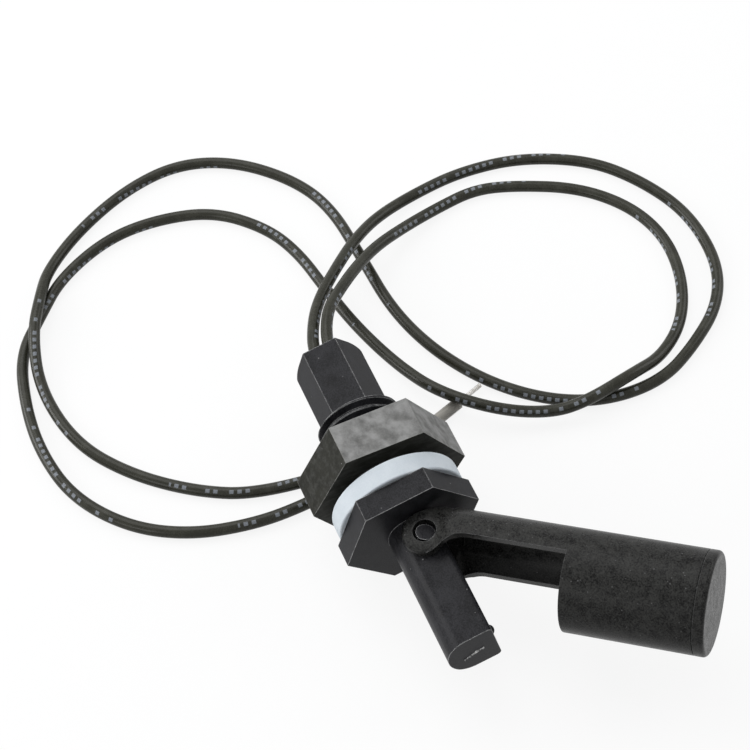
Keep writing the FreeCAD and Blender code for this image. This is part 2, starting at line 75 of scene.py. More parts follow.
# Lengths along the moulded body
TAIL_LENGTH = 15.5 * MM
FLANGE_THICKNESS = 4.5 * MM

# Thread of the mounting stub
THREAD_RADIUS = 8.0 * MM
THREAD_PITCH = 2.0 * MM
THREAD_DEPTH = 1.15 * MM
THREAD_CREST = 0.3 * MM
THREAD_CLEARANCE = 0.12 * MM
THREAD_FLANK = math.radians(30)
THREAD_TURNS = 7.6
THREAD_STEPS = 72
THREAD_RUN_OUT = 0.2 * MM
SHARP_ANGLE = math.radians(26)
ARM_SHARP_ANGLE = math.radians(50)

# Stem: centre (u, p) and radius of its round back corners
STEM_ROUND = (-0.3 * MM, 0.7 * MM, 4.4 * MM)
STEM_ROUND_CUTS = 7
STEM_SKIN = (3.5 * MM, 7.1 * MM)

# Wires
WIRE_DIAMETER = 2.3 * MM
WIRE_SPACING = 2.8 * MM
WIRE_EXIT_RUN = 3.5 * MM
CONDUCTOR_DIAMETER = 0.9 * MM
CROSSING_GAP = 0.5 * MM
END_A_LENGTH = 6.0 * MM
END_B_LENGTH = 5.8 * MM
WIRE_SIDES = 24
STEPS_PER_RUN = 14
STRANDS_ROUND = 6
STRAND_LAY = 7.0 * MM

# Plain dashes on the wires, in millimetres along them and in turns round them
DASH = 0.95
DASH_GAP = 0.55
DASH_SOFT_EDGE = 0.15
DASHES_KEPT = 0.66
PRINT_LENGTH = 34.0
PRINT_GAP = 22.0
PRINT_WANDER = 1.4
PRINT_WANDER_SCALE = 0.012
PRINT_BAND = (0.058, 0.044)

# Where each wire's covering starts to turn pale with painted glare, in metres along it
PAINTED_GLARE_A = 1.0
PAINTED_GLARE_B = 0.4135
PAINTED_GLARE_RUN = 2.0 * MM

# Torn gate on the stem's end: its line in (u, p), its width and its height
GATE_STEPS = 15
GATE_START = (-2.1, -1.15)
GATE_RUN = (4.0, 1.25)
GATE_HALF_WIDTH = (0.12, 0.42)
GATE_LEAST_HALF_WIDTH = 0.05
GATE_RISE = (0.05, 0.28)
GATE_CREST_SWAY = 0.12
GATE_ROOT_DEPTH = 0.15

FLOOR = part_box("mounting_nut")[0][2]
TAIL_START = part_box("switch_body")[0][0]
STEM_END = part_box("switch_body")[1][0]
THREAD_START = TAIL_START + TAIL_LENGTH
FLANGE_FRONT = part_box("sealing_gasket")[1][0] + FLANGE_THICKNESS
ON_FLOOR = FLOOR + WIRE_DIAMETER / 2
OVER_WIRE = ON_FLOOR + WIRE_DIAMETER + CROSSING_GAP


def at(x, y, z):
    """A point of a wire's route: x and y in millimetres, z in metres."""
    return Vector((x * MM, y * MM, z))


ROUTE_A = [
    at(-43.2, 1.4, -1.9 * MM), at(-48.8, 4.8, -3.2 * MM), at(-55.4, 10.7, -4.9 * MM),
    at(-62.7, 17.6, -7.6 * MM), at(-68.2, 24.8, -10.2 * MM), at(-71.4, 34.5, ON_FLOOR),
    at(-72.5, 45.0, ON_FLOOR), at(-70.5, 57.5, ON_FLOOR), at(-63.5, 70.0, ON_FLOOR),
    at(-54.0, 77.0, ON_FLOOR), at(-42.5, 81.5, ON_FLOOR), at(-29.0, 81.0, ON_FLOOR),
    at(-19.5, 76.0, ON_FLOOR), at(-12.8, 67.0, ON_FLOOR), at(-8.5, 58.5, ON_FLOOR),
    at(-8.5, 48.0, ON_FLOOR), at(-12.6, 38.1, ON_FLOOR), at(-21.2, 28.9, ON_FLOOR),
    at(-32.9, 22.1, ON_FLOOR), at(-46.0, 18.4, ON_FLOOR), at(-61.0, 18.0, ON_FLOOR),
    at(-76.0, 17.3, ON_FLOOR), at(-86.5, 12.7, ON_FLOOR), at(-96.3, 3.5, ON_FLOOR),
    at(-100.8, -7.5, ON_FLOOR), at(-99.0, -19.5, ON_FLOOR), at(-93.0, -31.8, ON_FLOOR),
    at(-85.3, -40.8, ON_FLOOR + 0.6 * MM), at(-78.0, -44.2, OVER_WIRE), at(-70.0, -48.3, OVER_WIRE),
    at(-58.5, -51.0, ON_FLOOR), at(-43.5, -48.5, ON_FLOOR), at(-32.5, -41.3, ON_FLOOR),
    at(-23.5, -31.3, ON_FLOOR), at(-17.8, -20.7, ON_FLOOR), at(-16.6, -10.5, ON_FLOOR),
]
ROUTE_B = [
    at(-43.4, 4.5, -0.4 * MM), at(-48.4, 9.0, -2.3 * MM), at(-53.8, 14.3, -4.7 * MM),
    at(-59.1, 20.6, -7.5 * MM), at(-63.0, 28.2, -10.0 * MM), at(-65.8, 36.7, ON_FLOOR),
    at(-66.9, 45.5, ON_FLOOR), at(-64.2, 53.5, ON_FLOOR), at(-58.0, 64.7, ON_FLOOR),
    at(-49.0, 72.0, ON_FLOOR), at(-38.8, 74.7, ON_FLOOR), at(-28.0, 72.8, ON_FLOOR),
    at(-18.8, 67.8, ON_FLOOR), at(-13.3, 60.5, ON_FLOOR), at(-10.6, 53.3, OVER_WIRE),
    at(-8.6, 42.8, OVER_WIRE), at(-9.8, 35.9, ON_FLOOR + 1.4 * MM), at(-13.8, 26.7, OVER_WIRE),
    at(-22.5, 18.1, OVER_WIRE), at(-33.1, 14.3, ON_FLOOR), at(-44.6, 10.7, ON_FLOOR),
    at(-56.0, 8.6, ON_FLOOR), at(-67.5, 7.0, ON_FLOOR), at(-76.5, 3.4, ON_FLOOR),
    at(-85.3, -4.8, ON_FLOOR), at(-88.6, -16.2, ON_FLOOR), at(-88.3, -27.3, ON_FLOOR),
    at(-82.7, -39.0, ON_FLOOR), at(-75.5, -45.5, ON_FLOOR), at(-68.0, -52.0, ON_FLOOR),
    at(-56.0, -54.7, ON_FLOOR), at(-44.5, -55.2, ON_FLOOR), at(-32.3, -52.7, ON_FLOOR),
    at(-21.6, -45.2, ON_FLOOR), at(-15.1, -35.2, ON_FLOOR), at(-12.1, -23.3, ON_FLOOR),
    at(-12.0, -13.0, ON_FLOOR), at(-13.2, -5.0, ON_FLOOR), at(-15.8, 7.0, ON_FLOOR),
    at(-18.6, 16.0, ON_FLOOR), at(-20.4, 21.1, ON_FLOOR),
]


# ---------------------------------------------------------------- node trees

def add(tree, kind, inputs=(), **settings):
    """A node with its settings and its inputs; an input is a value or another node's output."""
    made = tree.nodes.new(kind)
    for name, value in settings.items():
        setattr(made, name, value)
    for name, value in dict(inputs).items():
        if isinstance(value, bpy.types.NodeSocket):
            tree.links.new(value, made.inputs[name])
        else:
            made.inputs[name].default_value = value
    return made


def maths(tree, operation, first, second=0.0, third=0.0):
    made = add(tree, "ShaderNodeMath", {0: first, 1: second, 2: third}, operation=operation)
    return made.outputs[0]


def vector_maths(tree, operation, first, second=(0, 0, 0)):
    made = add(tree, "ShaderNodeVectorMath", {0: first, 1: second}, operation=operation)
    return made.outputs["Value" if operation == "DOT_PRODUCT" else "Vector"]


def spread(tree, value, low, high, to_low=0.0, to_high=1.0, smooth=True):
    """A value between low and high drawn out between two new limits."""
    made = add(tree, "ShaderNodeMapRange",
               {"Value": value, "From Min": low, "From Max": high, "To Min": to_low, "To Max": to_high},
               interpolation_type="SMOOTHSTEP" if smooth else "LINEAR")
    return made.outputs["Result"]


def noise(tree, place, scale, detail=3.0, roughness=0.5):
    made = add(tree, "ShaderNodeTexNoise",
               {"Vector": place, "Scale": scale, "Detail": detail, "Roughness": roughness})
    return made.outputs["Fac"]


def blend(tree, share, first, second):
    """A colour between two colours."""
    made = tree.nodes.new("ShaderNodeMix")
    made.data_type = "RGBA"
    for index, value in ((0, share), (6, first), (7, second)):
        if isinstance(value, bpy.types.NodeSocket):
            tree.links.new(value, made.inputs[index])
        elif index:
            made.inputs[index].default_value = (*value, 1)
        else:
            made.inputs[index].default_value = value
    return made.outputs[2]


def new_group(name, kind, inputs, outputs):
    """A node group with named sockets; each input is (name, socket type, value)."""
    group = bpy.data.node_groups.new(name, kind)
    for label, socket_type, value in inputs:
        socket = group.interface.new_socket(name=label, in_out="INPUT", socket_type=socket_type)
        if value is not None:
            socket.default_value = value
    for label, socket_type in outputs:
        group.interface.new_socket(name=label, in_out="OUTPUT", socket_type=socket_type)
    entry = group.nodes.new("NodeGroupInput").outputs
    leave = group.nodes.new("NodeGroupOutput").inputs
    return group, entry, leave


def in_millimetres(tree, place):
    scaled = vector_maths(tree, "SCALE", place)
    scaled.node.inputs["Scale"].default_value = 1 / MM
    return scaled


FLOAT = "NodeSocketFloat"
VECTOR = "NodeSocketVector"


def build_mottle():
    """Uneven tone of moulded plastic: broad clouds broken by finer ones. Sizes in millimetres."""
    group, entry, leave = new_group(
        "moulded mottle", "ShaderNodeTree",
        [("Place", VECTOR, None), ("Cloud size", FLOAT, 4.0), ("Grain size", FLOAT, 0.35),
         ("Grain share", FLOAT, 0.4)], [("Tone", FLOAT), ("Grain", FLOAT)])
    place = in_millimetres(group, entry["Place"])
    clouds = noise(group, place, maths(group, "DIVIDE", 1.0, entry["Cloud size"]), 4.0, 0.55)
    grain = noise(group, place, maths(group, "DIVIDE", 1.0, entry["Grain size"]), 3.0, 0.6)
    both = maths(group, "ADD", maths(group, "MULTIPLY", grain, entry["Grain share"]),
                 maths(group, "MULTIPLY", clouds, maths(group, "SUBTRACT", 1.0, entry["Grain share"])))
    group.links.new(spread(group, both, 0.36, 0.64), leave["Tone"])
    group.links.new(grain, leave["Grain"])
    return group


def build_edge_wear_and_highlights():
    """Where outer edges and corners are painted pale: worn edges with a painted highlight, broken up along
    their length, and painted glints at corners.
    """
    group, entry, leave = new_group(
        "rubbed edges", "ShaderNodeTree",
        [("Place", VECTOR, None), ("Edge start", FLOAT, 0.99), ("Edge full", FLOAT, 0.93),
         ("Corner start", FLOAT, 0.64), ("Corner full", FLOAT, 0.56), ("Bevel normal", VECTOR, None)],
        [("Edge", FLOAT), ("Corner", FLOAT)])
    surface = group.nodes.new("ShaderNodeNewGeometry")
    agreement = vector_maths(group, "DOT_PRODUCT", entry["Bevel normal"], surface.outputs["Normal"])
    edge_wear_and_highlight = spread(group, agreement, entry["Edge start"], entry["Edge full"])
    corner = spread(group, agreement, entry["Corner start"], entry["Corner full"])
    place = in_millimetres(group, entry["Place"])
    broken = spread(group, noise(group, place, 1.1, 4.0, 0.6), 0.34, 0.6, 0.25, 1.0)
    group.links.new(maths(group, "MULTIPLY", edge_wear_and_highlight, broken), leave["Edge"])
    group.links.new(corner, leave["Corner"])
    return group


def build_specks():
    """Scattered dust: small round specks in some of a grid's cells. Sizes in millimetres."""
    group, entry, leave = new_group(
        "dust specks", "ShaderNodeTree",
        [("Place", VECTOR, None), ("Spacing", FLOAT, 1.2), ("Speck size", FLOAT, 0.12),
         ("Share", FLOAT, 0.2)], [("Specks", FLOAT)])
    place = in_millimetres(group, entry["Place"])
    cells = add(group, "ShaderNodeTexVoronoi",
                {"Vector": place, "Scale": maths(group, "DIVIDE", 1.0, entry["Spacing"])})
    lot = add(group, "ShaderNodeSeparateColor", {"Color": cells.outputs["Color"]}).outputs
    chosen = maths(group, "LESS_THAN", lot["Red"], entry["Share"])
    reach = maths(group, "DIVIDE", entry["Speck size"], entry["Spacing"])
    reach = maths(group, "MULTIPLY", reach, spread(group, lot["Green"], 0.0, 1.0, 0.5, 1.3, False))
    inner = maths(group, "MULTIPLY", reach, 0.4)
    dot = spread(group, cells.outputs["Distance"], reach, inner)
    group.links.new(maths(group, "MULTIPLY", dot, chosen), leave["Specks"])
    return group


def build_streaks():
    """Soft drawn-out smears, long in one direction. Sizes in millimetres."""
    group, entry, leave = new_group(
        "drawn smears", "ShaderNodeTree",
        [("Place", VECTOR, None), ("Stretch", VECTOR, (1, 1, 1)), ("Width", FLOAT, 1.5),
         ("Start", FLOAT, 0.45), ("Full", FLOAT, 0.7)], [("Smears", FLOAT)])
    place = in_millimetres(group, entry["Place"])
    drawn = vector_maths(group, "DIVIDE", place, entry["Stretch"])
    value = noise(group, drawn, maths(group, "DIVIDE", 1.0, entry["Width"]), 4.0, 0.6)
    group.links.new(spread(group, value, entry["Start"], entry["Full"]), leave["Smears"])
    return group


def build_settled_dust_and_facing_light():
    """Fine dust on faces that look one way, thinner in clouds; the same pale colour also stands as painted
    light on those faces. Sizes in millimetres.
    """
    group, entry, leave = new_group(
        "settled dust and painted light", "ShaderNodeTree",
        [("Place", VECTOR, None), ("Up", VECTOR, (0, 0, 1)), ("Start", FLOAT, 0.5), ("Full", FLOAT, 0.9),
         ("Cloud size", FLOAT, 2.0)], [("Dust and light", FLOAT)])
    surface = group.nodes.new("ShaderNodeNewGeometry")
    facing = vector_maths(group, "DOT_PRODUCT", surface.outputs["Normal"], entry["Up"])
    place = in_millimetres(group, entry["Place"])
    clouds = noise(group, place, maths(group, "DIVIDE", 1.0, entry["Cloud size"]), 5.0, 0.65)
    dust = maths(group, "MULTIPLY", spread(group, facing, entry["Start"], entry["Full"]),
                 spread(group, clouds, 0.25, 0.72, 0.35, 1.0))
    group.links.new(dust, leave["Dust and light"])
    return group


MOTTLE = build_mottle()
SETTLED_DUST_AND_LIGHT = build_settled_dust_and_facing_light()
EDGE_WEAR_AND_HIGHLIGHTS = build_edge_wear_and_highlights()
SPECKS = build_specks()
STREAKS = build_streaks()


def use(tree, group, place, **values):
    """A copy of an effect in a material, with its own values (spaces in names as _)."""
    made = add(tree, "ShaderNodeGroup", node_tree=group)
    tree.links.new(place, made.inputs["Place"])
    for name, value in values.items():
        socket = made.inputs[name.replace("_", " ")]
        if isinstance(value, bpy.types.NodeSocket):
            tree.links.new(value, socket)
        else:
            socket.default_value = value
    return made.outputs


def new_material(name):
    material = bpy.data.materials.new(name)
    material.use_nodes = True
    tree = material.node_tree
    shader = tree.nodes["Principled BSDF"]
    place = tree.nodes.new("ShaderNodeTexCoord").outputs["Object"]
    return material, tree, shader.inputs, place


def bump(tree, height, depth):
    """A surface normal from a height that goes from 0 to 1 over a depth in metres."""
    made = add(tree, "ShaderNodeBump", {"Height": height, "Strength": 1.0, "Distance": depth})
    return made.outputs["Normal"]


def moulded(name, dark, light, rough, clouds=4.0, grain=0.35, grain_share=0.4, grain_depth=0.012,
            edge_wear_and_highlight=0.0, edge_wear_and_highlight_colour=(0.20, 0.20, 0.20), edge_width=0.22, corner=0.0,
            specks=0.15, speck_size=0.12, speck_spacing=1.5, speck_colour=(0.22, 0.22, 0.22),
            smears=0.0, smear_colour=(0.15, 0.15, 0.15), stretch=(1, 1, 1), smear_width=1.5,
            smear_start=0.42, smear_full=0.70, specular=0.10, dust=0.0, dust_and_light_colour=(0.2, 0.2, 0.2),
            dust_and_light_facing=(0, 0, 1), dust_and_light_start=0.5, dust_and_light_full=0.9, dust_and_light_clouds=2.0):
    """Moulded plastic: mottled tone, fine grain, edges painted pale as wear and painted highlight, painted
    corner glints, settled dust that also paints light on faces that look one way, dust specks and smears.
    """
    material, tree, sockets, place = new_material(name)
    tone = use(tree, MOTTLE, place, Cloud_size=clouds, Grain_size=grain, Grain_share=grain_share)
    colour = blend(tree, tone["Tone"], dark, light)
    if smears > 0:
        drawn = use(tree, STREAKS, place, Stretch=stretch, Width=smear_width,
                    Start=smear_start, Full=smear_full)["Smears"]
        colour = blend(tree, maths(tree, "MULTIPLY", drawn, smears), colour, smear_colour)
    # Settled dust on faces that look one way; its pale colour also stands as painted light on those faces.
    if dust > 0:
        dust_and_light = use(tree, SETTLED_DUST_AND_LIGHT, place, Up=dust_and_light_facing, Start=dust_and_light_start, Full=dust_and_light_full,
                    Cloud_size=dust_and_light_clouds)["Dust and light"]
        colour = blend(tree, maths(tree, "MULTIPLY", dust_and_light, dust), colour, dust_and_light_colour)
    # Pale edges: part real wear, part painted highlight; the grey at corners is a painted glint.
    if edge_wear_and_highlight > 0 or corner > 0:
        rounded = add(tree, "ShaderNodeBevel", {"Radius": edge_width * MM}, samples=6).outputs[0]
        rubbed_and_highlighted = use(tree, EDGE_WEAR_AND_HIGHLIGHTS, place, Bevel_normal=rounded)
        colour = blend(tree, maths(tree, "MULTIPLY", rubbed_and_highlighted["Edge"], edge_wear_and_highlight), colour, edge_wear_and_highlight_colour)
        colour = blend(tree, maths(tree, "MULTIPLY", rubbed_and_highlighted["Corner"], corner), colour, (0.5, 0.5, 0.5))
    if specks > 0:
        dust = use(tree, SPECKS, place, Spacing=speck_spacing, Speck_size=speck_size, Share=specks)
        colour = blend(tree, dust["Specks"], colour, speck_colour)
    tree.links.new(colour, sockets["Base Color"])
    tree.links.new(spread(tree, tone["Tone"], 0.0, 1.0, rough[0], rough[1], False), sockets["Roughness"])
    tree.links.new(bump(tree, tone["Grain"], grain_depth * MM), sockets["Normal"])
    sockets["Specular IOR Level"].default_value = specular
    return material


def metal(name, dark, light, rough, grain=0.3, stretch=(1, 1, 1)):
    """Bare metal: tarnish clouds and fine drawn lines."""
    material, tree, sockets, place = new_material(name)
    tone = use(tree, MOTTLE, place, Cloud_size=1.2, Grain_size=grain, Grain_share=0.5)
    drawn = use(tree, STREAKS, place, Stretch=stretch, Width=0.12)["Smears"]
    tree.links.new(blend(tree, tone["Tone"], dark, light), sockets["Base Color"])
    tree.links.new(spread(tree, drawn, 0.0, 1.0, rough[0], rough[1], False), sockets["Roughness"])
    tree.links.new(bump(tree, drawn, 0.006 * MM), sockets["Normal"])
    sockets["Metallic"].default_value = 1.0
    return material


def clear_glass(name):
    material, tree, sockets, place = new_material(name)
    tone = use(tree, MOTTLE, place, Cloud_size=2.0)
    tree.links.new(blend(tree, tone["Tone"], (0.72, 0.86, 0.78), (0.82, 0.93, 0.87)), sockets["Base Color"])
    tree.links.new(spread(tree, tone["Tone"], 0.0, 1.0, 0.02, 0.08, False), sockets["Roughness"])
    sockets["Transmission Weight"].default_value = 1.0
    return material


def printed_insulation(name, turn, shift, painted_glare_from):
    """Black wire covering with a row of plain pale dashes along one side.

    The UV map gives metres along the wire and turns round it."""
    material, tree, sockets, place = new_material(name)
    tone = use(tree, MOTTLE, place, Cloud_size=2.5, Grain_size=0.3, Grain_share=0.5)
    colour = blend(tree, tone["Tone"], (0.022, 0.022, 0.015), (0.034, 0.034, 0.025))
    scuffs = use(tree, STREAKS, place, Width=2.5, Start=0.50, Full=0.75)["Smears"]
    colour = blend(tree, maths(tree, "MULTIPLY", scuffs, 0.3), colour, (0.060, 0.060, 0.048))
    uv = add(tree, "ShaderNodeUVMap", uv_map="UVMap").outputs["UV"]
    split = add(tree, "ShaderNodeSeparateXYZ", {0: uv}).outputs
    # Painted glare: the covering is painted pale from this point towards the stripped end.
    painted_glare = spread(tree, split["X"], painted_glare_from, painted_glare_from + PAINTED_GLARE_RUN, 0.0, 0.85)
    colour = blend(tree, painted_glare, colour, (0.42, 0.40, 0.36))
    along = maths(tree, "MULTIPLY_ADD", split["X"], 1 / MM, shift)
    round_it = split["Y"]
    wander = add(tree, "ShaderNodeTexNoise",
                 {"W": maths(tree, "MULTIPLY", along, PRINT_WANDER_SCALE), "Scale": 1.0, "Detail": 1.0},
                 noise_dimensions="1D").outputs["Fac"]
    middle = maths(tree, "MULTIPLY_ADD", wander, PRINT_WANDER, turn - PRINT_WANDER / 2)
    offset = maths(tree, "SUBTRACT", round_it, middle)
    offset = maths(tree, "ABSOLUTE", maths(tree, "SUBTRACT", offset, maths(tree, "ROUND", offset)))
    band = spread(tree, offset, *PRINT_BAND)
    step = DASH + DASH_GAP
    phase = maths(tree, "MULTIPLY", maths(tree, "FRACT", maths(tree, "DIVIDE", along, step)), step)
    dash = maths(tree, "MULTIPLY", spread(tree, phase, 0.0, DASH_SOFT_EDGE),
                 spread(tree, phase, DASH, DASH - DASH_SOFT_EDGE))
    cell = maths(tree, "FLOOR", maths(tree, "DIVIDE", along, step))
    pick = add(tree, "ShaderNodeTexWhiteNoise", {"W": cell}, noise_dimensions="1D").outputs["Value"]
    kept = maths(tree, "LESS_THAN", pick, DASHES_KEPT)
    stretch = PRINT_LENGTH + PRINT_GAP
    run = maths(tree, "MULTIPLY", maths(tree, "FRACT", maths(tree, "DIVIDE", along, stretch)), stretch)
    printed = maths(tree, "LESS_THAN", run, PRINT_LENGTH)
    patchy = spread(tree, noise(tree, uv, 2200.0, 3.0, 0.6), 0.36, 0.6, 0.35, 1.0)
    ink = maths(tree, "MULTIPLY", maths(tree, "MULTIPLY", band, dash), maths(tree, "MULTIPLY", kept, printed))
    ink = maths(tree, "MULTIPLY", ink, patchy)
    tree.links.new(blend(tree, ink, colour, (0.24, 0.26, 0.29)), sockets["Base Color"])
    gloss = spread(tree, tone["Tone"], 0.0, 1.0, 0.24, 0.30, False)
    tree.links.new(maths(tree, "MULTIPLY_ADD", ink, 0.2, gloss), sockets["Roughness"])
    tree.links.new(bump(tree, tone["Grain"], 0.0006 * MM), sockets["Normal"])
    sockets["Specular IOR Level"].default_value = 0.2
    return material


# ---------------------------------------------------------------- pieces

def new_object(name, mesh):
    thing = bpy.data.objects.new(name, mesh)
    bpy.context.collection.objects.link(thing)
    return thing


def plain_mesh(thing, name):
    """The evaluated object as a plain mesh object of its own; the first object is removed."""
    depsgraph = bpy.context.evaluated_depsgraph_get()
    mesh = bpy.data.meshes.new_from_object(thing.evaluated_get(depsgraph), depsgraph=depsgraph)
    mesh.name = name
    bpy.data.objects.remove(thing)
    return new_object(name, mesh)


def merged_copy(node, name):
    """A CAD node's mesh with its loose triangles joined."""
    work = bmesh.new()
    work.from_mesh(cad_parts[node].data)
    bmesh.ops.remove_doubles(work, verts=work.verts, dist=1e-7)
    mesh = bpy.data.meshes.new(name)
    work.to_mesh(mesh)
    work.free()
    return new_object(name, mesh)


def smooth_by_angle(thing, angle):
    """Corner normals averaged over the faces round each corner that turn less than an angle."""
    mesh = thing.data
    limit = math.cos(angle)
    around = [[] for vertex in mesh.vertices]
    for face in mesh.polygons:
        face.use_smooth = True
        for vertex in face.vertices:
            around[vertex].append((face.normal.copy(), face.area))
    normals = []
    for face in mesh.polygons:
        for vertex in face.vertices:
            total = Vector()
            for normal, area in around[vertex]:
                if normal.dot(face.normal) > limit:
                    total += normal * area
            normals.append(total.normalized() if total.length > 0 else face.normal.copy())
    mesh.normals_split_custom_set(normals)


def set_inputs(modifier, values):
    """Sets a Geometry Nodes modifier's inputs by their sockets' identifiers."""
    for item in modifier.node_group.interface.items_tree:
        if item.item_type == "SOCKET" and item.in_out == "INPUT" and item.name in values:
            modifier[item.identifier] = values[item.name]


def thread_tree():
    """Cuts a screw thread into a body: a V groove follows a spiral along the body's X axis."""
    tree, entry, leave = new_group(
        "screw thread", "GeometryNodeTree",
        [("Body", "NodeSocketGeometry", None), ("Radius", FLOAT, 0.008), ("Pitch", FLOAT, 0.002),
         ("Depth", FLOAT, 0.001), ("Clearance", FLOAT, 0.0001), ("Crest", FLOAT, 0.0003),
         ("Turns", FLOAT, 8.0), ("Start", FLOAT, 0.0), ("Clocking", FLOAT, 0.0),
         ("Steps per turn", "NodeSocketInt", 64), ("Material", "NodeSocketMaterial", None)],
        [("Geometry", "NodeSocketGeometry")])
    middle = maths(tree, "SUBTRACT", entry["Radius"], maths(tree, "MULTIPLY", entry["Depth"], 0.5))
    spiral = add(tree, "GeometryNodeCurveSpiral", {
        "Resolution": entry["Steps per turn"], "Rotations": entry["Turns"], "Start Radius": middle,
        "End Radius": middle, "Height": maths(tree, "MULTIPLY", entry["Turns"], entry["Pitch"])})
    upright = add(tree, "GeometryNodeSetCurveNormal", {"Curve": spiral.outputs[0]}, mode="Z_UP")
    outer = maths(tree, "SUBTRACT", maths(tree, "MULTIPLY", entry["Depth"], -0.5), entry["Clearance"])
    inner = maths(tree, "MULTIPLY", entry["Depth"], 0.5)
    mouth = maths(tree, "MULTIPLY", maths(tree, "SUBTRACT", entry["Pitch"], entry["Crest"]), 0.5)
    mouth = maths(tree, "MULTIPLY_ADD", entry["Clearance"], math.tan(THREAD_FLANK), mouth)
    root = maths(tree, "SUBTRACT", mouth, maths(
        tree, "MULTIPLY", maths(tree, "ADD", entry["Depth"], entry["Clearance"]), math.tan(THREAD_FLANK)))
    corners = []
    for across, along in ((outer, mouth), (outer, maths(tree, "MULTIPLY", mouth, -1.0)),
                          (inner, maths(tree, "MULTIPLY", root, -1.0)), (inner, root)):
        corners.append(add(tree, "ShaderNodeCombineXYZ", {"X": across, "Y": along}).outputs[0])
    profile = add(tree, "GeometryNodeCurvePrimitiveQuadrilateral", {}, mode="POINTS")
    for index, corner in enumerate(corners):
        tree.links.new(corner, profile.inputs["Point " + str(index + 1)])
    groove = add(tree, "GeometryNodeCurveToMesh", {
        "Curve": upright.outputs[0], "Profile Curve": profile.outputs[0], "Fill Caps": True})
    clocked = add(tree, "GeometryNodeTransform", {
        "Geometry": groove.outputs[0],
        "Rotation": add(tree, "ShaderNodeCombineXYZ", {"Z": entry["Clocking"]}).outputs[0]})
    laid = add(tree, "GeometryNodeTransform", {
        "Geometry": clocked.outputs[0], "Rotation": (0, math.pi / 2, 0),
        "Translation": add(tree, "ShaderNodeCombineXYZ", {"X": entry["Start"]}).outputs[0]})
    cut = add(tree, "GeometryNodeMeshBoolean", {"Mesh 1": entry["Body"], "Mesh 2": laid.outputs[0]},
              operation="DIFFERENCE", solver="EXACT")
    realised = add(tree, "GeometryNodeRealizeInstances", {"Geometry": cut.outputs[0]})
    dressed = add(tree, "GeometryNodeSetMaterial", {
        "Geometry": realised.outputs[0], "Material": entry["Material"]})
    tree.links.new(dressed.outputs[0], leave["Geometry"])
    return tree


def round_stem_back(body):
    """Turns the stem's two bevelled back corners into round ones."""
    shape = bmesh.new()
    shape.from_mesh(body.data)
    u_start, p_start, radius = STEM_ROUND
    for step in range(STEM_ROUND_CUTS):
        angle = math.pi / 2 * (step + 0.5) / STEM_ROUND_CUTS
        u = u_start - radius * math.sin(angle)
        faces = [face for face in shape.faces
                 if face.calc_center_median().x > FLANGE_FRONT + 0.1 * MM
                 and min(vert.co.dot(U_AXIS) for vert in face.verts) < u_start]
        parts = set(faces)
        for face in faces:
            parts.update(face.edges)
            parts.update(face.verts)
        bmesh.ops.bisect_plane(shape, geom=list(parts), plane_co=U_AXIS * u, plane_no=U_AXIS, dist=1e-6)
    for vert in shape.verts:
        u = vert.co.dot(U_AXIS)
        p = vert.co.dot(P_AXIS)
        outside = STEM_SKIN[0] < math.hypot(vert.co.y, vert.co.z) < STEM_SKIN[1]
        if vert.co.x > FLANGE_FRONT - 0.01 * MM and u < u_start and outside and abs(p) > p_start:
            reach = math.sqrt(max(radius ** 2 - (u_start - u) ** 2, 0))
            lower = min(abs(p), p_start + reach)
            vert.co += P_AXIS * (math.copysign(lower, p) - p)
    shape.to_mesh(body.data)
    shape.free()


def threaded_body(material):
    """The moulded body with the thread cut into its stub."""
    body = merged_copy("switch_body", "body_moulding")
    round_stem_back(body)
    cutter = body.modifiers.new("thread", "NODES")
    cutter.node_group = thread_tree()
    set_inputs(cutter, {
        "Radius": THREAD_RADIUS, "Pitch": THREAD_PITCH, "Depth": THREAD_DEPTH,
        "Clearance": THREAD_CLEARANCE, "Crest": THREAD_CREST, "Turns": THREAD_TURNS,
        "Start": THREAD_START + THREAD_RUN_OUT, "Clocking": CLOCK_ANGLE,
        "Steps per turn": THREAD_STEPS, "Material": material})
    body = plain_mesh(body, "body_moulding")
    smooth_by_angle(body, SHARP_ANGLE)
    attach(body, "housing")
    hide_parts("switch_body")
    return body


def smooth_arm(material):
    """The float's arm with its flared ears and edges shaded as one soft moulding."""
    arm = merged_copy("float_arm", "arm_moulding")
    arm.data.materials.append(material)
    smooth_by_angle(arm, ARM_SHARP_ANGLE)
    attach(arm, "float")
    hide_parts("float_arm")
    return arm


